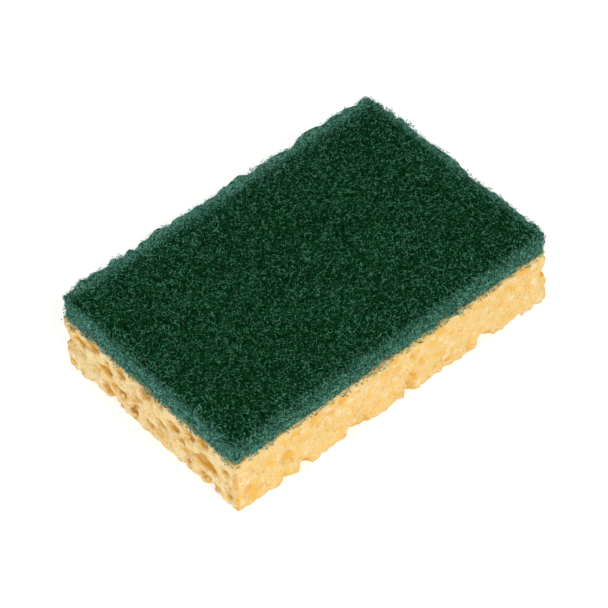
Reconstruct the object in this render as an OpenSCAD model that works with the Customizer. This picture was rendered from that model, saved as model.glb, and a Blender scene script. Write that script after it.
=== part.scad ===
// Two-layer cleaning sponge: a cellulose block with a scouring pad bonded to its top, in millimetres.
// It rests on the cellulose: z = 0 is the underside, x runs along the length and y across the width.
// The cellulose is cast round melting crystals, which leave long pores that all run across the width:
// the short ends cut them lengthwise, as slots, and the long sides cut them across, as dimples.

/* [Cellulose block] */
// Length of the block, along x
block_len = 130; // [100:1:160]
// Width of the block, along y
block_wid = 85; // [60:1:110]
// Thickness of the block
block_thk = 22.5; // [18:0.5:30]
// Rounding of the four upright corners
corner_r = 1; // [1:0.5:4]

/* [Pores] */
// Size of the open pores, as a multiple of the usual size
pore_scale = 1; // [0.7:0.05:1.15]
// Depth of the dimples in the long sides, as a multiple of the usual depth
dimple_scale = 1; // [0.5:0.05:1.2]
// Height of the bites that pores take from the bottom edges, as a multiple of the usual height
bite_scale = 1; // [0.5:0.05:1.2]
// Tiers of slots up the short end at +x
slot_tiers = 4; // [2:1:4]
// Radius of the widest pores in the underside
under_r = 3.1; // [1.5:0.1:3.4]
// Length of the longest pores in the underside
under_len = 12; // [7:0.5:14]
// Spacing of the pores in the underside
under_pitch = 11.5; // [11:0.5:20]
// Radius of the notches where a pore breaks an upright corner
notch_r = 2.2; // [1:0.1:2.6]
// Seed for the random spread of the pores
pore_seed = 11; // [1:1:99]

/* [Scouring pad] */
// Thickness of the pad
pad_thk = 9.5; // [6:0.5:14]
// Rounding of the pad's upper rim
rim_r = 3.5; // [1:0.5:5]
// Rounding of the pad's four upright corners
pad_corner_r = 2; // [1.5:0.5:4]
// How far the torn edge wanders inwards
ragged = 0.3; // [0.2:0.1:1.2]
// Depth of the deepest hollows between the tufts of the web
hollow_depth = 0.8; // [0.3:0.1:1.2]
// Spacing of the hollows
hollow_pitch = 12; // [10:0.5:20]

/* [Hidden] */
$fn = 32;
half_len = block_len / 2;
half_wid = block_wid / 2;

// Length of the steps along a torn edge
facet_len = 4;
// Random slots: clear of the corners by this, this far apart at least, and between these two heights
slot_margin = 5;
slot_pitch = 11.5;
slot_low = 4.6;
slot_high = block_thk - 2.9;
// Random dimples: clear of the corners by this, about this far apart, and at most this wide and deep
dimple_margin = 6;
dimple_pitch = 9.5;
dimple_w = 6;
dimple_d = 1.2;
// The deepest that a dimple may be, as a share of its width
dish_share = 0.47;
// Random bites: clear of the corners by this, and about this far apart
bite_margin = 4;
bite_pitch = 8;
// Underside pores stay this far from the ends and the sides
under_margin = [7, 6];
// The centre of a corner notch lies this far outside the end and the side
notch_out = [0.2, 0.3];
// The rolled section of the pad reaches this far past its outline
rim_over = 0.5;
// The pad's hollows stay this far from its edges
hollow_margin = 8;
// The hand-placed pores are given for a block of this size, and spread out with it
usual = [130, 85, 22.5];
stretch = [block_len / usual.x, block_wid / usual.y, block_thk / usual.z];

// Slots in the short end at -x: place across from the +y corner, height, length, tallness, slant in degrees
end_slots_near = [
    [-38.4, 19.4, 5.6, 3.0, 0], [-34.0, 16.3, 6.0, 3.4, 8], [-27.5, 19.2, 7.0, 3.4, 10],
    [-22.0, 13.0, 8.0, 3.4, 2], [-22.3, 3.8, 6.0, 3.4, 14], [-13.8, 17.8, 6.5, 3.6, 12],
    [-14.0, 8.9, 5.0, 3.0, 6], [-7.6, 9.2, 7.0, 2.4, -4], [-8.8, 4.3, 6.5, 4.0, 16],
    [-1.5, 19.0, 6.5, 4.4, 6], [-5.6, 13.6, 7.0, 2.6, 0], [5.8, 19.8, 5.5, 2.6, 8],
    [-0.8, 5.4, 6.0, 3.6, 12], [5.8, 11.2, 5.0, 3.2, 6], [12.2, 15.0, 7.5, 4.4, 22],
    [20.2, 17.2, 5.5, 3.2, 10], [26.6, 19.6, 7.0, 3.4, 12], [27.2, 10.6, 14.0, 4.4, 2],
    [36.5, 13.8, 4.6, 1.9, 4], [25.5, 3.2, 5.0, 2.6, 20], [38.0, 4.0, 4.5, 3.4, 10],
    [18.2, 3.4, 3.4, 2.2, 60], [32.4, 19.6, 3.0, 2.2, 0], [-20.0, 17.6, 3.2, 1.7, 8],
    [-31.5, 7.0, 3.0, 1.4, 10], [16.4, 11.4, 3.4, 2.0, 8], [-38.5, 9.0, 3.0, 1.8, 0]];

// Dimples in the long side at -y: place along x, height, width, depth
side_dimples_near = [
    [-59.8, 7.6, 5.4, 1.0], [-55.2, 5.0, 2.6, 0.7], [-51.2, 19.6, 3.2, 0.6], [-44.0, 10.4, 5.4, 1.1],
    [-44.4, 4.6, 3.0, 0.6], [-40.7, 19.3, 2.8, 0.8], [-32.5, 18.9, 4.8, 0.9], [-27.4, 17.4, 3.2, 0.6],
    [-20.6, 18.8, 5.2, 1.1], [-21.4, 7.3, 1.8, 0.7], [-10.2, 13.0, 4.2, 0.5], [-7.0, 5.2, 3.4, 0.6],
    [-52.0, 13.2, 4.6, 0.5], [-36.6, 13.0, 6.4, 0.6], [-15.8, 11.4, 2.0, 0.5], [0.2, 19.8, 3.6, 0.9],
    [1.6, 15.2, 5.0, 0.6], [6.8, 6.8, 4.6, 2.1], [12.6, 10.6, 5.2, 0.6], [20.6, 18.8, 5.8, 0.7],
    [28.0, 10.8, 2.6, 0.6], [42.0, 14.0, 3.0, 0.5], [47.2, 5.0, 2.8, 0.6], [48.2, 17.4, 6.0, 0.6],
    [54.8, 20.0, 4.4, 0.9], [32.6, 5.6, 3.0, 0.6], [57.2, 14.4, 5.0, 0.5], [16.8, 4.8, 3.6, 0.5]];

// Bites from the bottom edge of the long side at -y: place along x, width, height
side_bites_near = [
    [-56.0, 4.0, 0.5], [-46.0, 5.0, 1.3], [-37.4, 4.8, 2.2], [-24.0, 4.4, 0.8], [-18.2, 5.4, 2.6],
    [-13.2, 3.6, 2.0], [-0.4, 5.2, 1.0], [5.8, 4.8, 2.3], [21.0, 4.6, 1.0], [37.6, 8.4, 2.6],
    [49.0, 5.4, 0.8], [59.4, 4.0, 1.1]];

// Bites from the bottom edge of the short end at -x: place across from the +y corner, width, height
end_bites_near = [[-19.0, 5.6, 1.5], [4.0, 5.0, 0.7], [16.0, 3.6, 0.5], [29.2, 5.0, 1.5], [39.0, 3.6, 0.8]];

// Notches up three of the corners: which corner, the height, then the radius as a multiple of the usual one
corner_notch_list = [[-1, 1, 13.4, 1.35], [1, -1, 13.6, 0.9], [1, 1, 10.0, 1]];

// The random number from 0 to 1 that belongs to one item of one group of pores
function chance(group, item) = rands(0, 1, item + 1, pore_seed * 50 + group)[item];

// The same, stretched to run from low to high
function spread(low, high, group, item) = low + (high - low) * chance(group, item);

// A slow wander from 0 to 1 along a torn edge, s in millimetres
function wander(s) = 0.5 + 0.25 * sin(s * 31) + 0.15 * sin(s * 83 + 40) + 0.1 * sin(s * 171 + 110);

// One straight side of an outline, drawn in by the wander of its edge
function torn_side(start, along, inward, len, depth) =
    let (steps = round(len / facet_len), first = start.x + start.y)
    [for (i = [0:steps]) let (s = len * i / steps) start + along * s + inward * depth * wander(first + s)];

// One rounded corner, as points between its two sides
function corner_arc(centre, from, r) =
    [for (a = [22.5:22.5:67.5]) centre + r * [cos(from + a), sin(from + a)]];

// The outline of the block or the pad, walked round from the corner at -x, -y
function outline(r, depth) =
    let (x = half_len, y = half_wid, l = block_len - 2 * r, w = block_wid - 2 * r)
    concat(
        torn_side([-x + r, -y], [1, 0], [0, 1], l, depth), corner_arc([x - r, -y + r], 270, r - depth),
        torn_side([x, -y + r], [0, 1], [-1, 0], w, depth), corner_arc([x - r, y - r], 0, r - depth),
        torn_side([x - r, y], [-1, 0], [0, -1], l, depth), corner_arc([-x + r, y - r], 90, r - depth),
        torn_side([-x, y - r], [0, -1], [1, 0], w, depth), corner_arc([-x + r, -y + r], 180, r - depth));

// An almond, the shape of one pore: length len along y, where it comes to a point, and thickness 2 r
module almond(len, r) {
    bow = (len * len / 4 + r * r) / (2 * r);
    rotate([-90, 0, 0]) rotate_extrude() intersection() {
        translate([r - bow, 0]) circle(r = bow, $fn = 96);
        translate([0, -len]) square([r + 1, 2 * len]);
    }
}

// A pore that opens towards +x: its axis lies just outside the plane x = 0. Short ones are round.
module pore(len, r, group, item) {
    translate([r * spread(0.05, 0.3, group + 2, item), 0, 0])
        if (len < 2.5 * r) sphere(r = r);
        else almond(len, r);
}

// A shallow round dish of width w and depth d, cut into the plane y = 0 from its -y side
module dish(w, d) {
    r = (w * w / 4 + d * d) / (2 * d);
    translate([0, d - r, 0]) sphere(r = r, $fn = 64);
}

// A bite of width w and height h from an edge along x, of a block that lies at +y and +z
module bite(w, h) {
    r = (w * w / 4 + h * h) / (2 * h);
    translate([0, -0.1, h - r]) rotate([90, 0, 0]) sphere(r = r, $fn = 48);
}

// The hand-placed slots, drawn in the plane of the end at +x
module placed_slots(list, group) {
    for (i = [0:len(list) - 1]) {
        s = list[i];
        translate([half_len, s[0] * stretch.y, s[1] * stretch.z]) rotate([s[4], 0, 0])
            pore(s[2] * pore_scale, s[3] / 2 * pore_scale, group, i);
    }
}

// Tiers of random slots in the short end at +x
module random_slots(group) {
    span = block_wid - 2 * slot_margin;
    per_tier = floor(span / slot_pitch);
    rise = (slot_high - slot_low) / (slot_tiers - 1);
    pitch = span / per_tier;
    for (tier = [0:slot_tiers - 1], k = [0:per_tier - 1]) {
        item = tier * per_tier + k;
        r = 1.9 * pore_scale * spread(0.5, 1, group, 3 * item);
        len = max(2.2 * r, (pitch - 1.2) * spread(0.35, 1, group, 3 * item + 1));
        y = (k + 0.5 + (tier % 2 == 0 ? -0.2 : 0.2)) * pitch - span / 2;
        z = slot_low + tier * rise + spread(-0.5, 0.5, group, 3 * item + 2);
        translate([half_len, y, z]) rotate([6 * sin(97 * item), 0, 0]) pore(len, r, group, item);
    }
}

// The hand-placed dimples in the long side at -y
module placed_dimples(list) {
    for (s = list)
        translate([s[0] * stretch.x, -half_wid, s[1] * stretch.z])
            dish(s[2] * pore_scale, min(s[3] * dimple_scale, dish_share * s[2] * pore_scale));
}

// Random dimples, drawn in the long side at -y
module random_dimples(group) {
    span = block_len - 2 * dimple_margin;
    count = floor(span / dimple_pitch);
    for (tier = [0:1], k = [0:count - 1]) {
        item = tier * count + k;
        w = dimple_w * pore_scale * spread(0.5, 1, group, 4 * item);
        d = min(dimple_d * dimple_scale * spread(0.3, 1, group, 4 * item + 1), dish_share * w);
        x = (k + 0.5 + spread(-0.2, 0.2, group, 4 * item + 2)) * span / count - span / 2;
        z = block_thk * (0.32 + 0.38 * tier) + spread(-1.5, 1.5, group, 4 * item + 3);
        translate([x, -half_wid, z]) dish(w, d);
    }
}

// The hand-placed bites along an edge of a block that lies at +y, grow is how far it is stretched
module placed_bites(list, grow) {
    for (s = list) translate([s[0] * grow, 0, 0]) bite(s[1], s[2] * bite_scale);
}

// Random bites along an edge of a block that lies at +y
module random_bites(length, group) {
    span = length - 2 * bite_margin;
    count = floor(span / bite_pitch);
    for (k = [0:count - 1]) {
        w = spread(3, 7, group, 3 * k);
        h = min(w * 0.45, bite_scale * spread(0.5, 2.2, group, 3 * k + 1));
        x = (k + 0.5 + spread(-0.2, 0.2, group, 3 * k + 2)) * span / count - span / 2;
        translate([x, 0, 0]) bite(w, h);
    }
}

// Pores in the underside, kept clear of the edges: one in each cell of a grid, moved about inside it
module under_pores(group) {
    span = [block_len, block_wid] - 2 * under_margin;
    nx = floor(span.x / under_pitch);
    ny = floor(span.y / under_pitch);
    cell = [span.x / nx, span.y / ny];
    for (i = [0:nx - 1], j = [0:ny - 1]) {
        item = i * ny + j;
        r = under_r * spread(0.35, 1, group, 5 * item);
        len = min(r * spread(2, 4.6, group, 5 * item + 1), under_len, cell.y - 1);
        x = (i + 0.5) * cell.x - span.x / 2 + (cell.x / 2 - r) * spread(-0.9, 0.9, group, 5 * item + 2);
        y = (j + 0.5) * cell.y - span.y / 2 + (cell.y - len) / 2 * spread(-1, 1, group, 5 * item + 3);
        translate([x, y, 0]) rotate([0, 90, 30 * sin(67 * item)]) pore(len, r, group, item);
    }
}

// Notches where pores break the upright corners
module corner_notches() {
    for (c = corner_notch_list)
        translate([c[0] * (half_len + notch_out.x), c[1] * (half_wid + notch_out.y), c[2] * stretch.z])
            rotate([0, 0, 45 - 90 * c[0] * c[1]]) sphere(r = notch_r * c[3]);
}

// The cellulose block with its open pores, cut one face at a time
module cellulose_block() {
    color("#f3d38f") difference() {
        difference() {
            difference() {
                difference() {
                    linear_extrude(height = block_thk) polygon(outline(corner_r, 0));
                    under_pores(40);
                }
                rotate([0, 0, 180]) placed_slots(end_slots_near, 16);
                random_slots(24);
            }
            placed_dimples(side_dimples_near);
            rotate([0, 0, 180]) random_dimples(64);
        }
        translate([0, -half_wid, 0]) placed_bites(side_bites_near, stretch.x);
        rotate([0, 0, 180]) translate([0, -half_wid, 0]) random_bites(block_len, 81);
        rotate([0, 0, 270]) translate([0, -half_len, 0]) placed_bites(end_bites_near, stretch.y);
        rotate([0, 0, 90]) translate([0, -half_len, 0]) random_bites(block_wid, 85);
        corner_notches();
    }
}

// The pad's section across a span: a slab whose upper rim rolls over
module rim_section(half_span, depth) {
    edge = half_span + rim_over;
    r = rim_r + rim_over;
    rim = [for (a = [0:15:90]) [edge - r + r * cos(a), pad_thk - r + r * sin(a)]];
    mirrored = [for (i = [len(rim) - 1:-1:0]) [-rim[i].x, rim[i].y]];
    rotate([90, 0, 0]) translate([0, 0, -depth])
        linear_extrude(height = 2 * depth)
            polygon(concat([[edge, -1]], rim, mirrored, [[-edge, -1]]));
}

// One in four of the hollows between the tufts on the pad's top, none of which are side by side.
// The four groups are cut one after another, as a hollow can run into its neighbours.
module web_hollows(group) {
    span = [block_len - 2 * hollow_margin, block_wid - 2 * hollow_margin];
    nx = floor(span.x / hollow_pitch);
    ny = floor(span.y / hollow_pitch);
    for (i = [0:nx - 1], j = [0:ny - 1]) if ((i + 2 * j) % 4 == group) {
        item = i * ny + j;
        x = (i + 0.5 + spread(-0.25, 0.25, 96, 4 * item)) * span.x / nx - span.x / 2;
        y = (j + 0.5 + spread(-0.25, 0.25, 96, 4 * item + 1)) * span.y / ny - span.y / 2;
        w = hollow_pitch * spread(0.35, 0.75, 96, 4 * item + 2);
        d = hollow_depth * spread(0.4, 1, 96, 4 * item + 3);
        translate([x, y, pad_thk]) rotate([-90, 0, 0]) dish(w, d);
    }
}

// The pad before it has its hollows
module pad_body() {
    intersection() {
        linear_extrude(height = pad_thk) polygon(outline(pad_corner_r, ragged));
        rim_section(half_len, half_wid + 2);
        rotate([0, 0, 90]) rim_section(half_wid, half_len + 2);
    }
}

// The scouring pad, lying on the block
module scouring_pad() {
    color("#1d5340") translate([0, 0, block_thk]) difference() {
        difference() {
            difference() {
                difference() {
                    pad_body();
                    web_hollows(0);
                }
                web_hollows(1);
            }
            web_hollows(2);
        }
        web_hollows(3);
    }
}

cellulose_block();
scouring_pad();
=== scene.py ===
"""A two-layer cleaning sponge: a cellulose block with open pores and a scouring pad of crimped fibres."""

import math

import bpy
import numpy as np
import openvdb
from mathutils import Matrix, Vector


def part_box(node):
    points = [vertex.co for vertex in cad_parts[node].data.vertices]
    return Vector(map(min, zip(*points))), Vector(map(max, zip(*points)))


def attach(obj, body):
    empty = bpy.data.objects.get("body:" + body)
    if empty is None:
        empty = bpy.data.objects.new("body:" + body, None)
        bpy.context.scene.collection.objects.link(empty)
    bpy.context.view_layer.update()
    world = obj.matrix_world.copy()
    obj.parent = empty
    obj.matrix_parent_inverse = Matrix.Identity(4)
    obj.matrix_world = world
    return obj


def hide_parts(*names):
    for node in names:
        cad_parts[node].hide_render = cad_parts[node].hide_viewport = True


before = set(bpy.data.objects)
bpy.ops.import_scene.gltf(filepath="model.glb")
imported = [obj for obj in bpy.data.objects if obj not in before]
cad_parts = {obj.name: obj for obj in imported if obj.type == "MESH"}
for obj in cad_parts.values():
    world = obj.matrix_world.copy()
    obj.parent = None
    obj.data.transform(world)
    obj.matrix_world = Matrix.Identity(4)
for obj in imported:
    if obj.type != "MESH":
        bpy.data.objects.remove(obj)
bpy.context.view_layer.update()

MM = 0.001

# ---------------------------------------------------------------- sizes, in millimetres

block_low, block_high = (np.array(corner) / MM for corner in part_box("cellulose_block"))
HALF_LENGTH = block_high[0]
HALF_WIDTH = block_high[1]
SEAM = block_high[2]
PAD_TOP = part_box("scouring_pad")[1][2] / MM

BLOCK_VOXEL = 0.36
PORE_START = 0.7  # the depth of the layer whose pores are carried further in
PORE_REACH = 6.0  # how much further in they go at most
CRUMBLE_ZONE = 1.4  # how far in from its edges the block crumbles
FLAT_TOP = 0.6  # the layer under the pad that stays smooth
SKIN = 0.05  # how far out from the field's zero the surface is drawn

CORE_VOXEL = 1.0
CORE_INSET = 0.85  # how far the core lies inside the web's surface
RIM_ZONE = 3.0  # how far in from the outline the rim shapes the core
SEAM_ZONE = 3.0  # how far above the seam the web is filled out
FRINGE_ZONE = 2.5  # how far above the seam fibres hang down
OUTLINE_ZONE = 1.5  # how far in from the outline they stand looser
ROLLED_ZONE = 2.5  # how far round the top's edge they stand closer together

FIBRE_RADIUS = 0.073
FIBRE_SECTION = (0.3, 0.8)  # from one ring of a fibre to the next, at least and at most
FIBRE_BEND = (0.55, 2.0)  # the radius it curls round, at least and at most
FIBRE_DEPTH = 1.3  # how deep it is sunk at most
DEEPEST = 1.5  # how deep it may lie in the end
SPREAD_CELL = 1.2  # the size of the cells that hold about equally many

# The pad's four sides. For each: how far below the top its wall is painted paler as painted light, how
# strongly and how far in the top is painted paler by the same painted light, how far the rim bulges out, and
# how far the fringe hangs below the seam.
RIMS = np.array(
    [
        (5.6, 0.43, 1.3, 0.15, 0.5),  # -x
        (3.0, 0.62, 3.0, 0.90, 0.5),  # +x
        (9.5, 0.18, 1.0, 0.00, 0.9),  # -y
        (3.0, 0.90, 4.5, 1.20, 0.5),  # +y
    ]
)
CORNER_BLEND = 2.0  # how gently one side's row gives way to the next

WAVE_LENGTHS = (5, 6.5, 8, 11, 15, 20, 27)
WAVE_HEIGHT = 0.16
WAVE_REACH = 4.0  # how far in from the outline they fade

# ---------------------------------------------------------------- counts and seeds

BLOCK_TRIANGLES = 196_000
FIBRE_BATCHES = 4
LONG_FIBRES = 15_400
SHORT_FIBRES = 30_800
STRAY_SHARE = 0.003
STRAY_TONE = 0.93

WAVE_SEED = 5
CLUMP_SEED = 9
FRINGE_SEED = 12
BLOCK_SEED = 20
CORE_SEED = 31
FIBRE_SEED = 100


# ---------------------------------------------------------------- nodes written as expressions


class Value:
    """A node socket that Python's operators add Math nodes to."""

    def __init__(self, finish, socket):
        self.finish = finish
        self.socket = socket

    def join(self, operation, left, right):
        return self.finish.node("ShaderNodeMath", {"operation": operation}, [left, right])

    def __add__(self, other):
        return self.join("ADD", self, other)

    def __radd__(self, other):
        return self.join("ADD", other, self)

    def __sub__(self, other):
        return self.join("SUBTRACT", self, other)

    def __rsub__(self, other):
        return self.join("SUBTRACT", other, self)

    def __mul__(self, other):
        return self.join("MULTIPLY", self, other)

    def __rmul__(self, other):
        return self.join("MULTIPLY", other, self)

    def __abs__(self):
        return self.join("ABSOLUTE", self, 0.0)

    def minimum(self, other):
        return self.join("MINIMUM", self, other)

    def maximum(self, other):
        return self.join("MAXIMUM", self, other)

    def step(self, start, end):
        """Goes smoothly from 0 at start to 1 at end, which may be the smaller of the two."""
        settings = {"interpolation_type": "SMOOTHSTEP", "clamp": True}
        inputs = {"Value": self, "From Min": start, "From Max": end}
        return self.finish.node("ShaderNodeMapRange", settings, inputs)


class Finish:
    """A material under construction."""

    def __init__(self, name, **sockets):
        self.material = bpy.data.materials.new(name)
        self.material.use_nodes = True
        self.nodes = self.material.node_tree.nodes
        self.links = self.material.node_tree.links
        self.shader = self.nodes["Principled BSDF"]
        self.set(**sockets)

    def node(self, kind, settings, inputs, output=0):
        """Adds one node: its settings first, then the values or links of its sockets."""
        node = self.nodes.new(kind)
        for name, value in settings.items():
            setattr(node, name, value)
        pairs = inputs.items() if isinstance(inputs, dict) else enumerate(inputs)
        for key, value in pairs:
            self.feed(node.inputs[key], value)
        return Value(self, node.outputs[output])

    def feed(self, socket, value):
        if isinstance(value, Value):
            self.links.new(value.socket, socket)
        else:
            socket.default_value = value

    def set(self, **sockets):
        """Feeds the shader's own sockets, whose spaces are written as underscores."""
        for name, value in sockets.items():
            self.feed(self.shader.inputs[name.replace("_", " ")], value)

    def place(self):
        """Where a point lies in the object's own frame, in metres, as a vector."""
        return self.node("ShaderNodeTexCoord", {}, {}, "Object")

    def parts(self, vector):
        """The x, y and z of a vector."""
        split = self.node("ShaderNodeSeparateXYZ", {}, [vector]).socket.node
        return [Value(self, socket) for socket in split.outputs]

    def noise(self, size, detail, roughness=0.5, seed=0.0):
        """Noise from 0 to 1 whose lumps are about this many millimetres across."""
        inputs = {
            "Vector": self.place(),
            "W": seed,
            "Scale": 1 / (size * MM),
            "Detail": detail,
            "Roughness": roughness,
        }
        return self.node("ShaderNodeTexNoise", {"noise_dimensions": "4D"}, inputs)

    def cells(self, size, stretch):
        """Distance to the nearest of scattered points about this many millimetres apart."""
        vector = self.node("ShaderNodeVectorMath", {"operation": "MULTIPLY"}, [self.place(), stretch])
        return self.node("ShaderNodeTexVoronoi", {}, {"Vector": vector, "Scale": 1 / (size * MM)})

    def mix(self, factor, first, second):
        """Blends two colours."""
        return self.node("ShaderNodeMix", {"data_type": "RGBA"}, {0: factor, 6: first, 7: second}, 2)

    def bump(self, height, strength, distance):
        """A normal from a height, for relief about this many millimetres deep."""
        inputs = {"Height": height, "Strength": strength, "Distance": distance * MM}
        return self.node("ShaderNodeBump", {}, inputs)


def colour(text):
    """The linear colour of a six-figure hexadecimal screen colour."""
    screen = [int(text[i : i + 2], 16) / 255 for i in (0, 2, 4)]
    return tuple(c / 12.92 if c <= 0.04045 else ((c + 0.055) / 1.055) ** 2.4 for c in screen) + (1.0,)


# ---------------------------------------------------------------- finishes


def cellulose_finish():
    """Pale yellow on the cut faces, with painted orange shade in the pores, painted shade in hollows and
    small pits, painted highlights on ridges, and mottled by its fine structure.
    """
    f = Finish("cellulose", Roughness=0.8, Specular_IOR_Level=0.25)
    f.set(Subsurface_Weight=0.1, Subsurface_Scale=1.0 * MM, Subsurface_Radius=(0.8, 0.55, 0.35))
    x, y, z = f.parts(f.place())
    from_side = HALF_WIDTH * MM - abs(y)
    from_seam = SEAM * MM - z
    depth = (HALF_LENGTH * MM - abs(x)).minimum(from_side).minimum(z).minimum(from_seam)
    long_side = from_side.step(3.0 * MM, 0.6 * MM)

    # The cut faces: creamy and yellow patches, a fine grain, and small pits bumped in and painted darker
    # brown as their shade.
    cut = f.mix(long_side, colour("ffe8ae"), colour("fbd78f"))
    cream = f.mix(long_side, colour("fff3d4"), colour("ffedc4"))
    patches = f.mix(f.noise(4.0, 3).step(0.48, 0.72), cut, colour("fcc960"))
    creamy = f.mix(f.noise(2.4, 3, seed=8.0).step(0.50, 0.70) * 0.7, patches, cream)
    grain = f.mix(f.noise(0.42, 2, 0.6).step(0.50, 0.66) * 0.75, creamy, colour("e9ab48"))
    specked = f.noise(3.0, 1, seed=4.0).step(0.50, 0.62)
    # Small pits, painted darker as their shade and bumped in below.
    specks = (1 - f.cells(0.85, (1, 0.7, 1)).step(0.10, 0.34)) * specked
    face = f.mix(specks * 0.8, grain, colour("d89a38"))

    # Painted shade in the pores: a deeper orange that starts less deep on the long sides. Right under the
    # pad it is paler, a painted light against the shade of the pad's fringe.
    orange = f.mix(long_side, colour("ecb440"), colour("f6ba48"))
    sooner = from_side.step(3.0 * MM, 2.0 * MM) * 0.6 + 1.7
    drift = (f.noise(1.6, 3) - 0.5) * (1.2 * MM)
    in_pore = (depth * sooner + drift).step(0.4 * MM, 2.2 * MM)
    pored = f.mix(in_pore, face, orange)
    # Paler near the seam: painted light that lifts the shade under the pad's fringe.
    below_pad = f.mix(from_seam.step(1.8 * MM, 0.2 * MM) * 0.45, pored, colour("fde2a6"))

    # Painted shade in the hollows and painted highlights on the ridges.
    bend = f.node("ShaderNodeNewGeometry", {}, {}, "Pointiness")
    shaded_hollows = f.mix(bend.step(0.495, 0.46) * 0.5, below_pad, colour("d89c3c"))
    highlit_ridges = bend.step(0.508, 0.55) * (0.75 - long_side * 0.4)
    f.set(Base_Color=f.mix(highlit_ridges, shaded_hollows, colour("fff0ca")))
    height = f.noise(0.45, 3, 0.75) * 1.4 + f.noise(1.3, 2) * 0.3 - specks * 0.8
    f.set(Normal=f.bump(height, 0.9, 0.5))
    return f.material


def core_finish():
    """The depth of the web: nearly black between the fibres as painted shade, and green close to the pad's
    outline as painted light.
    """
    f = Finish("web_depth", Roughness=0.85, Specular_IOR_Level=0.0)
    strand = 1 - abs(f.noise(0.8, 2, seed=2.0) - 0.5).step(0.0, 0.06)
    knots = f.noise(0.45, 2, 0.7, seed=7.0).step(0.50, 0.60)
    web = strand.maximum(knots)
    patches = f.noise(6.0, 2, seed=5.0).step(0.35, 0.7)
    # Near-black in broad patches: painted shade for the depth between fibres.
    dark = f.mix(patches, colour("000a00"), colour("001202"))

    # The painted light's green goes further in at the +x end, and furthest at the +y side.
    x, y, _ = f.parts(f.place())
    from_end = (x + HALF_LENGTH * MM).minimum((HALF_LENGTH * MM - x) * 0.7)
    from_edge = from_end.minimum(y + HALF_WIDTH * MM).minimum((HALF_WIDTH * MM - y) * 0.5)
    near = from_edge.step(2.6 * MM, 0.8 * MM)
    depth = f.mix(near, dark, colour("0e3a24"))
    lines = f.mix(near, colour("1a5630"), colour("74b49c"))
    f.set(Base_Color=f.mix(web * 0.9, depth, lines))
    f.set(Normal=f.bump(web, 0.8, 0.3))
    return f.material


def fibre_finish():
    """Dyed synthetic fibre. The map's u is how far a fibre takes the rim's paler, bluer teal, which is
    painted light, and v its shade, painted darker for deep fibres and lighter for those that stand out.
    """
    f = Finish("web_fibre", Roughness=0.5, Specular_IOR_Level=0.015)
    spot = f.node("ShaderNodeUVMap", {"uv_map": "OFBake"}, {})
    rim_lit, shade, _ = f.parts(spot)
    inputs = {"Vector": spot, "Scale": 60.0, "Detail": 2.0}
    streaks = f.node("ShaderNodeTexNoise", {"noise_dimensions": "2D"}, inputs)
    shade = (shade + (streaks - 0.5) * 0.16).maximum(0.0).minimum(1.0)
    # Low shade values take the dark colours, painted shade for fibres deep in the web; high ones take the
    # light colours, painted light for those on top, and the outer teal is painted light on the walls and the
    # outline.
    deep = f.mix(shade.step(0.0, 0.55), colour("001200"), colour("144b27"))
    inner = f.mix(shade.step(0.3, 1.0), deep, colour("6cb893"))
    outer = f.mix(shade, colour("0a402a"), colour("82c8b8"))
    dyed = f.mix(rim_lit.step(0.0, 0.9), inner, outer)
    stray = rim_lit.step(STRAY_TONE - 0.015, STRAY_TONE - 0.01)
    f.set(Base_Color=f.mix(stray, dyed, colour("7c8c6c")))
    return f.material


# ---------------------------------------------------------------- solid fields


def cad_triangles(node):
    """The corner points of a CAD node's mesh, and the three points of each of its triangles."""
    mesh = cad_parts[node].data
    mesh.calc_loop_triangles()
    points = np.empty(len(mesh.vertices) * 3, np.float32)
    mesh.vertices.foreach_get("co", points)
    corners = np.empty(len(mesh.loop_triangles) * 3, np.int32)
    mesh.loop_triangles.foreach_get("vertices", corners)
    return points.reshape(-1, 3) / MM, corners.reshape(-1, 3)


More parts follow.
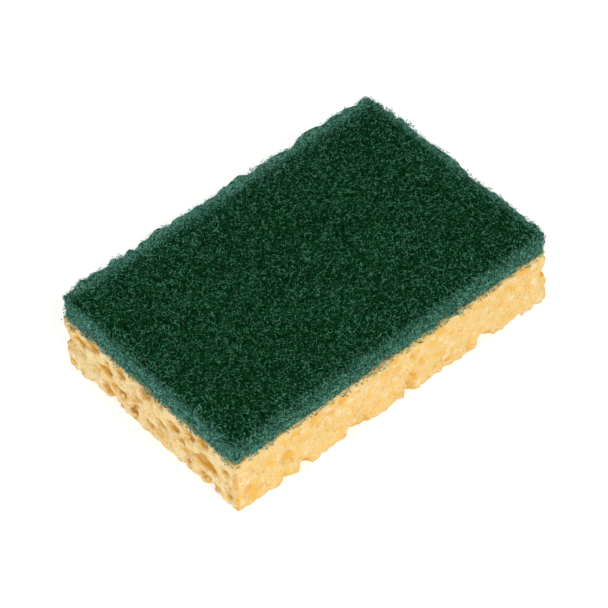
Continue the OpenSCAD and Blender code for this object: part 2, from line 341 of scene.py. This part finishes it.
class Field:
    """The signed distance to a CAD solid on a grid, negative inside."""

    BAND = 4.0  # how many voxels either side of the surface hold a distance
    ROOM = 2.0  # how far the grid goes past the solid
    FACE_FREEDOM = 0.12  # the share of a warp that reaches the flat outer faces

    def __init__(self, node, voxel):
        points, corners = cad_triangles(node)
        self.voxel = voxel
        self.scale = openvdb.createLinearTransform(voxelSize=voxel)
        grid = openvdb.FloatGrid.createLevelSetFromPolygons(
            points.astype(np.float32),
            triangles=corners.astype(np.uint32),
            transform=self.scale,
            halfWidth=self.BAND,
        )
        self.first = np.floor((points.min(0) - self.ROOM) / voxel).astype(int)
        last = np.ceil((points.max(0) + self.ROOM) / voxel).astype(int)
        self.values = np.zeros(last - self.first, np.float32)
        grid.copyToArray(self.values, tuple(int(i) for i in self.first))

    def axis(self, k):
        """The places of the grid's points along one axis, shaped to spread over the whole grid."""
        shape = [1, 1, 1]
        shape[k] = -1
        return ((np.arange(self.values.shape[k]) + self.first[k]) * self.voxel).reshape(shape)

    def shave(self, amount):
        """Takes this much off the surface, or adds it where the amount is negative."""
        self.values += amount.astype(np.float32)

    def smooth(self):
        """Blends each value with its neighbours'."""
        for k in range(3):
            near = np.roll(self.values, 1, k) + np.roll(self.values, -1, k)
            self.values = 0.5 * self.values + 0.25 * near

    def carve(self, centre, radii, turn):
        """Takes out an ellipsoid, turned about z."""
        reach = max(radii) + self.voxel
        low = np.floor((centre - reach) / self.voxel).astype(int) - self.first
        high = np.ceil((centre + reach) / self.voxel).astype(int) - self.first + 1
        part = tuple(slice(*ends) for ends in np.clip((low, high), 0, self.values.shape).T)
        axes = zip(np.ogrid[part], self.first, centre)
        x, y, z = ((steps + first) * self.voxel - middle for steps, first, middle in axes)
        c, s = math.cos(turn), math.sin(turn)
        across, along = x * c + y * s, y * c - x * s
        size = np.sqrt((across / radii[0]) ** 2 + (along / radii[1]) ** 2 + (z / radii[2]) ** 2)
        hole = (1 - size) * min(radii)
        self.values[part] = np.maximum(self.values[part], hole)

    def lumps(self, size, rng):
        """Smooth noise from -1 to 1 with lumps of one size."""
        shape = self.values.shape
        coarse = [int(n * self.voxel / size) + 3 for n in shape]
        noise = rng.uniform(-1, 1, coarse).astype(np.float32)
        for k in range(3):
            at = np.arange(shape[k]) * self.voxel / size
            low = at.astype(int)
            part = (at - low).astype(np.float32)
            part = part * part * (3 - 2 * part)
            spread = [1, 1, 1]
            spread[k] = -1
            part = part.reshape(spread)
            noise = np.take(noise, low, k) * (1 - part) + np.take(noise, low + 1, k) * part
        return noise

    def warp(self, amount, size, sides, rng):
        """Shifts the forms about by smooth noise, but the flat outer faces hardly at all."""
        where = []
        for k, (low, high) in enumerate(sides):
            at = self.axis(k)
            from_face = np.minimum(at - low, high - at)
            free = np.clip(from_face / (2 * size), self.FACE_FREEDOM, 1)
            shift = self.lumps(size, rng) * amount * free / self.voxel
            steps = np.arange(self.values.shape[k]).reshape(at.shape)
            where.append(np.clip(steps + shift, 0, self.values.shape[k] - 1.001).astype(np.float32))
        low = [place.astype(np.int32) for place in where]
        part = [place - whole for place, whole in zip(where, low)]
        total = np.zeros_like(self.values)
        for corner in np.ndindex(2, 2, 2):
            weight = 1.0
            for k in range(3):
                weight = weight * (part[k] if corner[k] else 1 - part[k])
            total += weight * self.values[tuple(low[k] + corner[k] for k in range(3))]
        self.values = total

    def mesh(self, name, level):
        """The surface where the field has this value."""
        grid = openvdb.FloatGrid(self.BAND * self.voxel)
        grid.transform = self.scale
        grid.copyFromArray(self.values, tuple(int(i) for i in self.first))
        points, triangles, quads = grid.convertToPolygons(level, 0.0)
        mesh = bpy.data.meshes.new(name)
        faces = [tuple(int(i) for i in face[::-1]) for face in triangles]
        faces += [tuple(int(i) for i in face[::-1]) for face in quads]
        mesh.from_pydata((points * MM).tolist(), [], faces)
        mesh.update()
        return mesh


def piece(name, mesh, material, node):
    """Puts a mesh in the scene as a piece that stands for a CAD node."""
    mesh.materials.append(material)
    mesh.polygons.foreach_set("use_smooth", [True] * len(mesh.polygons))
    made = bpy.data.objects.new(name, mesh)
    bpy.context.scene.collection.objects.link(made)
    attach(made, "root")
    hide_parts(node)
    return made


def thin_out(made, triangles):
    """Leaves about this many triangles."""
    count = sum(len(face.vertices) - 2 for face in made.data.polygons)
    less = made.modifiers.new("fewer faces", "DECIMATE")
    less.ratio = min(1.0, triangles / count)
    bpy.context.view_layer.objects.active = made
    bpy.ops.object.modifier_apply(modifier=less.name)


# ---------------------------------------------------------------- the cellulose block


def deepen_pores(field):
    """Carries the pores in the ends and the underside on into the block."""
    was = field.values.copy()

    # For each face: its axis, its place, the way in, and how much deeper and narrower its pores get.
    faces = [
        (0, -HALF_LENGTH, 1, 1.3, 0.0),
        (0, HALF_LENGTH, -1, 1.3, 0.0),
        (2, 0.0, 1, 2.0, 0.4),
    ]
    for axis, plane, inward, deeper, narrower in faces:
        steps = round(deeper / field.voxel)
        start = round((plane + inward * PORE_START) / field.voxel) - field.first[axis]
        for i in range(1, round(PORE_REACH / field.voxel)):
            source = start + inward * max(0, i - steps)
            layer = [slice(None)] * 3
            layer[axis] = start + inward * i
            layer = tuple(layer)
            field.values[layer] = np.maximum(field.values[layer], np.take(was, source, axis) - narrower)


def fine_pores(field, rng):
    """Scatters small pores over the cut faces, drawn out across the width like the large ones."""
    smallest, spread, margin = 0.35, 0.75, 0.8
    half = np.array([HALF_LENGTH, HALF_WIDTH, SEAM / 2])

    # For each face: its axis, its side and how many pores.
    faces = [
        (0, -1, 420),
        (0, 1, 420),
        (1, -1, 240),
        (1, 1, 240),
        (2, -1, 1500),
    ]
    for axis, side, count in faces:
        for _ in range(count):
            centre = rng.uniform(-1, 1, 3) * (half - margin)
            centre[axis] = side * (half[axis] - rng.uniform(-0.3, 0.5))
            centre[2] += SEAM / 2
            r = smallest + spread * rng.random() ** 2.5
            length = r * (0.6 if axis == 1 else rng.uniform(1.0, 2.4))
            field.carve(centre, (r, length, r * rng.uniform(0.7, 1.0)), rng.uniform(-0.5, 0.5))


def cellulose_block():
    """The block: its pores carried on, its faces uneven, its edges crumbled and its underside level."""
    rng = np.random.default_rng(BLOCK_SEED)
    field = Field("cellulose_block", BLOCK_VOXEL)
    deepen_pores(field)
    field.warp(0.8, 2.6, zip(block_low, block_high), rng)
    fine_pores(field, rng)
    rough = 0.20 * field.lumps(6.0, rng) + 0.18 * field.lumps(2.2, rng) + 0.12 * field.lumps(1.0, rng)
    from_side = [np.minimum(field.axis(k) - block_low[k], block_high[k] - field.axis(k)) for k in range(3)]
    from_edge = np.sort(np.stack(np.broadcast_arrays(*from_side)), axis=0)[1]
    crumble = np.clip(1 - from_edge / CRUMBLE_ZONE, 0, 1) * (0.1 + 0.55 * field.lumps(1.2, rng))
    below_pad = np.clip((SEAM - FLAT_TOP - field.axis(2)) / FLAT_TOP, 0, 1)
    field.shave((rough + crumble) * below_pad)
    field.smooth()
    field.values = np.maximum(field.values, (SKIN - field.axis(2)).astype(np.float32))
    mesh = field.mesh("cellulose_block_visual", -SKIN)
    made = piece("cellulose", mesh, cellulose_finish(), "cellulose_block")
    thin_out(made, BLOCK_TRIANGLES)


# ---------------------------------------------------------------- the scouring pad


def inward(x, y):
    """How far a point lies in from the pad's straight outline."""
    return np.minimum(HALF_LENGTH - abs(x), HALF_WIDTH - abs(y))


def nearest_rim(x, y):
    """The row of RIMS for the side nearest to each point, blended where two sides are equally near."""
    to_side = np.stack(np.broadcast_arrays(HALF_LENGTH + x, HALF_LENGTH - x, HALF_WIDTH + y, HALF_WIDTH - y))
    share = np.exp((to_side.min(0) - to_side) / CORNER_BLEND)
    share /= share.sum(0)
    return np.tensordot(RIMS.T, share, 1)


def waves(x, y):
    """A gentle unevenness along the pad's edges, mostly under 0.4 mm either way."""
    rng = np.random.default_rng(WAVE_SEED)
    total = 0
    for length in WAVE_LENGTHS:
        turn, start = rng.uniform(0, 2 * math.pi, 2)
        place = (x * math.cos(turn) + y * math.sin(turn)) * 2 * math.pi / length
        total = total + WAVE_HEIGHT * np.sin(place + start)
    return total


def unevenness(x, y, z):
    """How far the waves carry a point out. They fade inwards, and down towards the seam."""
    outwards = np.clip(1 - inward(x, y) / WAVE_REACH, 0, 1)
    upwards = np.clip((z - SEAM - 1.0) / WAVE_REACH, 0, 1)
    return waves(x, y) * outwards * upwards


def near_seam(z):
    """1 at the seam, and down to 0 above it."""
    return np.clip(1 - (z - SEAM) / SEAM_ZONE, 0, 1)


def pad_core():
    """The body of the web, which lies under the fibres that show."""
    rng = np.random.default_rng(CORE_SEED)
    field = Field("scouring_pad", CORE_VOXEL)
    field.shave(0.35 * field.lumps(3.0, rng) + 0.2 * field.lumps(1.6, rng))
    x, y, z = (field.axis(k) for k in range(3))
    open_rim = np.clip(1 - inward(x, y) / RIM_ZONE, 0, 1) * np.clip((z - SEAM - 2.0) / 4.0, 0, 1)
    _, _, _, bulge, _ = nearest_rim(x, y)
    knobs = 0.8 * field.lumps(1.3, rng) * np.minimum(bulge, 1)
    field.shave((0.9 - 2.35 * bulge + knobs) * open_rim - 0.8 * near_seam(z) - unevenness(x, y, z))
    mesh = field.mesh("pad_core_visual", -CORE_INSET)
    piece("pad_core", mesh, core_finish(), "scouring_pad")


def surface_samples(count, rng):
    """Points on the pad's outside, with the way out at each, spread evenly over the area."""
    points, corners = cad_triangles("scouring_pad")
    a, b, c = (points[corners[:, k]] for k in range(3))
    normal = np.cross(b - a, c - a)
    area = np.linalg.norm(normal, axis=1) / 2
    normal /= np.maximum(2 * area, 1e-9)[:, None]
    not_under = normal[:, 2] > -0.5
    weight = area * not_under
    chosen = rng.choice(len(area), count, p=weight / weight.sum())
    u = np.sqrt(rng.random(count))[:, None]
    v = rng.random(count)[:, None]
    at = a[chosen] * (1 - u) + b[chosen] * u * (1 - v) + c[chosen] * u * v
    return at, normal[chosen]


def lumps_at(points, size, rng):
    """Smooth noise from -1 to 1 with lumps of one size, at scattered points."""
    low = points.min(0)
    grid = rng.uniform(-1, 1, np.ceil((points.max(0) - low) / size).astype(int) + 2)
    place = (points - low) / size
    cell = place.astype(int)
    part = place - cell
    part = part * part * (3 - 2 * part)
    total = np.zeros(len(points))
    for corner in np.ndindex(2, 2, 2):
        weight = np.prod(np.where(corner, part, 1 - part), axis=1)
        total += weight * grid[tuple((cell + corner).T)]
    return total


def crowding(points, cell, rng):
    """How many others come before each point in its own cubic cell, counted in random order."""
    places = np.floor(points / cell).astype(int)
    places -= places.min(0)
    number = np.ravel_multi_index(places.T, places.max(0) + 1)
    order = np.lexsort((rng.random(len(points)), number))
    starts = np.searchsorted(number[order], number[order])
    rank = np.empty(len(points))
    rank[order] = np.arange(len(points)) - starts
    return rank + rng.random(len(points))


def unit(vectors):
    """The same directions, with length 1."""
    return vectors / np.maximum(np.linalg.norm(vectors, axis=1), 1e-9)[:, None]


def times(amounts, vectors):
    """Amounts along each fibre, times that fibre's one vector."""
    return amounts[:, :, None] * vectors[:, None, :]


class Fibres:
    """A batch of crimped fibres: where each grows on the pad, how it stands and what colour it has."""

    def __init__(self, number, count, rings):
        self.rng = np.random.default_rng(FIBRE_SEED + number)
        self.count = count
        self.rings = rings
        self.root()
        self.stand()

    def root(self):
        """Points spread more evenly than chance would, and closer together on the rolled rim."""
        at, out = surface_samples(2 * self.count, self.rng)
        rolled = np.exp(-np.hypot(inward(at[:, 0], at[:, 1]), PAD_TOP - at[:, 2]) / ROLLED_ZONE)
        crowd = crowding(at, SPREAD_CELL, self.rng) * (1 - 0.45 * rolled) - 0.2 * lumps_at(at, 1.0, self.rng)
        kept = np.argsort(crowd)[: self.count]
        self.at = at[kept]
        self.out = out[kept]
        self.x, self.y, self.z = self.at.T
        self.inward = inward(self.x, self.y)
        self.near_outline = np.exp(-np.maximum(self.inward, 0) / OUTLINE_ZONE)
        self.reach_down, self.paleness, self.reach_in, self.bulge, self.hang = nearest_rim(self.x, self.y)

    def stand(self):
        """How far each fibre is lifted out of the web, and how far it is carried off the CAD's surface."""
        rng = self.rng

        # All are sunk to some depth. A few fly away, and on the rim whole clumps stand out or lie back.
        self.flyaway = rng.random(self.count) < 0.02 + 0.16 * self.near_outline
        self.clump = 0.7 * self.near_outline * lumps_at(self.at, 2.2, np.random.default_rng(CLUMP_SEED))
        sunk = rng.uniform(-FIBRE_DEPTH, 0.0, self.count) * (1 + 0.5 * self.near_outline)
        lift = sunk + self.flyaway * rng.uniform(0.2, 0.8, self.count) + self.clump + 0.3 * self.near_outline

        # The rim bulges out where it is rounded, and near the seam none lies deep.
        flat = np.abs(self.out[:, 2])
        pushed = self.bulge * 2 * flat * np.sqrt(np.maximum(1 - flat**2, 0))
        carried = lift + pushed + unevenness(self.x, self.y, self.z)
        at_seam = near_seam(self.z)
        deepest = 1.3 * at_seam - DEEPEST
        self.lift = np.maximum(lift, deepest)
        self.carried = np.maximum(carried, deepest) + 0.25 * at_seam
        self.loose = np.clip(self.lift, 0, 1) * self.near_outline

    def tubes(self):
        """The points of every fibre: its rings of three from one end to the other, then its two tips."""
        rng = self.rng
        count = self.count

        # The way that each runs, and the way that it bends.
        tilt = rng.normal(0, 0.5, count) * (1 + 1.2 * self.near_outline)
        along = unit(unit(np.cross(self.out, rng.normal(size=(count, 3)))) + self.out * tilt[:, None])
        across = unit(np.cross(along, rng.normal(size=(count, 3))))
        side = np.cross(along, across)

        # A path along an arc, centred on the fibre's own place.
        length = rng.uniform(*FIBRE_SECTION, count) * (self.rings - 1)
        bow = rng.uniform(*FIBRE_BEND, count)
        angle = np.linspace(-0.5, 0.5, self.rings) * (length / bow)[:, None]
        rise = 1 - np.cos(angle)
        path = self.at[:, None, :] + times(self.carried[:, None], self.out)
        path = path + times(bow[:, None] * np.sin(angle), along)
        path = path + times(bow[:, None] * (rise - rise.mean(1)[:, None]), across)

        # What stands too high is pressed down, and what is near the seam hangs over it.
        height = np.einsum("ijk,ik->ij", path - self.at[:, None, :], self.out)
        top = 0.15 + 0.5 * self.flyaway + self.clump + (self.carried - self.lift)
        path -= times(0.75 * np.maximum(height - top[:, None], 0), self.out)
        fringe = self.hang + 0.6 * lumps_at(self.at, 2.6, np.random.default_rng(FRINGE_SEED))
        fringe += 0.3 * rng.random(count)
        path[..., 2] -= (fringe * np.clip(1 - (self.z - SEAM) / FRINGE_ZONE, 0, 1))[:, None]
        path[..., 2] = np.maximum(path[..., 2], SEAM - 0.2 - np.maximum(fringe, 0)[:, None])

        # Three sides round the path, which come to a point at both ends.
        swelling = 1 + 0.3 * self.near_outline + 1.8 * self.loose
        thickness = FIBRE_RADIUS * rng.uniform(0.7, 1.3, count) * swelling
        turn = np.radians([90, 210, 330])
        ways = across[:, None, :] * np.cos(turn)[:, None] + side[:, None, :] * np.sin(turn)[:, None]
        rings = path[:, 1:-1, None, :] + (ways * thickness[:, None, None])[:, None]
        tips = path[:, [0, -1], :]
        return np.concatenate([rings.reshape(count, -1, 3), tips], axis=1)

    def faces(self):
        """The triangles of one fibre."""
        inner = self.rings - 2
        faces = []
        for k in range(3):
            n = (k + 1) % 3
            faces.append((3 * inner, k, n))
            faces.append((3 * inner + 1, 3 * (inner - 1) + n, 3 * (inner - 1) + k))
            for ring in range(inner - 1):
                a, b = 3 * ring + k, 3 * ring + n
                faces.append((a, a + 3, b + 3))
                faces.append((a, b + 3, b))
        return np.array(faces)

    def spots(self):
        """Where each point of every fibre lies on the finish's map."""
        rng = self.rng

        # Fibres that stand out are bright more often, painted light that leaves the deeper ones in painted
        # shade, and flyaways and the rim's loose ones less often.
        patch = lumps_at(self.at, 11.0, rng)
        often = 0.46 + 0.22 * self.lift + 0.04 * patch + 0.15 * self.near_outline
        bright = rng.random(self.count) < often - 0.4 * self.flyaway - 0.6 * self.loose

        # Painted light makes them paler near the top's outline and down the walls, and deep ones are darker
        # as painted shade. A few are strays of another colour.
        pale = self.paleness * np.exp(-np.maximum(self.inward, 0) / self.reach_in) * (1 - 0.6 * self.loose)
        shade = 0.26 + 0.20 * self.lift + (0.5 + 0.35 * pale) * bright
        shade = np.clip(shade + rng.normal(0, 0.1, self.count) * (1 + 0.8 * self.near_outline), 0.03, 0.93)
        down_wall = np.clip((PAD_TOP - self.z) / self.reach_down, 0, 1) * (np.abs(self.out[:, 2]) < 0.9)
        tone = np.clip(0.05 + 0.4 * down_wall + pale + rng.normal(0, 0.08, self.count), 0.02, 0.86)
        tone[rng.random(self.count) < STRAY_SHARE] = STRAY_TONE

        # The map's place also shifts a little along and round the fibre.
        inner = self.rings - 2
        ring_of = np.concatenate([np.repeat(np.arange(inner), 3) + 1, [0, inner + 1]]) / (inner + 1)
        side_of = np.concatenate([np.tile([0.0, 0.5, 1.0], inner), [0.5, 0.5]])
        return np.stack([tone[:, None] + 0.06 * ring_of, shade[:, None] + 0.05 * side_of], -1)

    def mesh(self, name):
        """All the fibres in one mesh, with the finish's map."""
        points = self.tubes()
        each = points.shape[1]
        corners = (self.faces() + (np.arange(self.count) * each)[:, None, None]).ravel()
        starts = np.arange(0, len(corners), 3, dtype=np.int32)
        mesh = bpy.data.meshes.new(name)
        mesh.vertices.add(self.count * each)
        mesh.vertices.foreach_set("co", (points * MM).astype(np.float32).ravel())
        mesh.loops.add(len(corners))
        mesh.loops.foreach_set("vertex_index", corners.astype(np.int32))
        mesh.polygons.add(len(starts))
        mesh.polygons.foreach_set("loop_start", starts)
        mesh.polygons.foreach_set("loop_total", np.full_like(starts, 3))
        mesh.update()
        mesh.validate()
        layer = mesh.uv_layers.new(name="OFBake")
        layer.uv.foreach_set("vector", self.spots().reshape(-1, 2)[corners].astype(np.float32).ravel())
        return mesh


def scouring_pad():
    """The core under batches of fibres, every other one of shorter fibres."""
    pad_core()
    material = fibre_finish()
    for number in range(FIBRE_BATCHES):
        count, rings = (LONG_FIBRES, 4) if number % 2 == 0 else (SHORT_FIBRES, 3)
        name = "web_fibres_%d" % number
        mesh = Fibres(number, count, rings).mesh(name)
        piece(name, mesh, material, "scouring_pad")


# ---------------------------------------------------------------- floor, light and camera

# In metres.
FLOOR_REACH = 6.0
CAMERA_DISTANCE = 1.23853

# In degrees.
CAMERA_AZIMUTH = -37.368
CAMERA_ELEVATION = 48.243
CAMERA_ROLL = -4.419

# In millimetres.
CAMERA_LENS = 230.6
AIM_HEIGHT = 16.70
AIM_LEFT = 0.6
AIM_DOWN = 2.64


def floor():
    """A plain white floor."""
    mesh = bpy.data.meshes.new("floor")
    corners = [(x * FLOOR_REACH, y * FLOOR_REACH, 0) for x, y in ((-1, -1), (1, -1), (1, 1), (-1, 1))]
    mesh.from_pydata(corners, [], [(0, 1, 2, 3)])
    f = Finish("floor_white", Roughness=0.9, Specular_IOR_Level=0.0, Emission_Strength=0.5)
    f.set(Base_Color=(0.62, 0.62, 0.62, 1.0), Emission_Color=(1.0, 1.0, 1.0, 1.0))
    mesh.materials.append(f.material)
    made = bpy.data.objects.new("floor", mesh)
    bpy.context.scene.collection.objects.link(made)


def way(azimuth, elevation):
    """The direction from the object to a place round it, with azimuth 0 at its -y side."""
    return Vector(
        (
            math.sin(azimuth) * math.cos(elevation),
            -math.cos(azimuth) * math.cos(elevation),
            math.sin(elevation),
        )
    )


def softbox(name, azimuth, elevation, distance, size, power):
    """A square area light that looks at the object from its own side."""
    lamp = bpy.data.lights.new(name, "AREA")
    lamp.shape = "SQUARE"
    lamp.size = size
    lamp.energy = power
    made = bpy.data.objects.new(name, lamp)
    away = way(math.radians(azimuth), math.radians(elevation))
    made.location = away * distance
    made.rotation_mode = "QUATERNION"
    made.rotation_quaternion = away.to_track_quat("Z", "Y")
    bpy.context.scene.collection.objects.link(made)


def lights():
    """Three large soft lamps in a pale room."""
    softbox("key", azimuth=-5, elevation=42, distance=1.1, size=0.7, power=6.5)
    softbox("fill", azimuth=-80, elevation=35, distance=1.2, size=0.8, power=5.0)
    softbox("top", azimuth=140, elevation=68, distance=1.2, size=0.9, power=3)
    world = bpy.data.worlds.new("studio")
    world.use_nodes = True
    sky = world.node_tree.nodes["Background"].inputs
    sky["Color"].default_value = (1, 1, 1, 1)
    sky["Strength"].default_value = 0.42
    bpy.context.scene.world = world


def camera():
    """A long lens that looks down on the corner nearest to it."""
    azimuth, elevation, roll = (math.radians(a) for a in (CAMERA_AZIMUTH, CAMERA_ELEVATION, CAMERA_ROLL))
    back = way(azimuth, elevation)
    level = Vector((math.cos(azimuth), math.sin(azimuth), 0))
    upward = back.cross(level)
    right = level * math.cos(roll) + upward * math.sin(roll)
    up = upward * math.cos(roll) - level * math.sin(roll)
    aim = Vector((0, 0, AIM_HEIGHT * MM)) - right * AIM_LEFT * MM - up * AIM_DOWN * MM
    lens = bpy.data.cameras.new("camera")
    lens.lens = CAMERA_LENS
    lens.sensor_width = 36.0
    lens.clip_start = 0.05
    lens.clip_end = 50.0
    made = bpy.data.objects.new("camera", lens)
    turned = Matrix((right, up, back)).transposed().to_4x4()
    made.matrix_world = Matrix.Translation(aim + back * CAMERA_DISTANCE) @ turned
    bpy.context.scene.collection.objects.link(made)
    bpy.context.scene.camera = made


camera()
cellulose_block()
scouring_pad()
floor()
lights()
bpy.context.scene.view_settings.view_transform = "Standard"
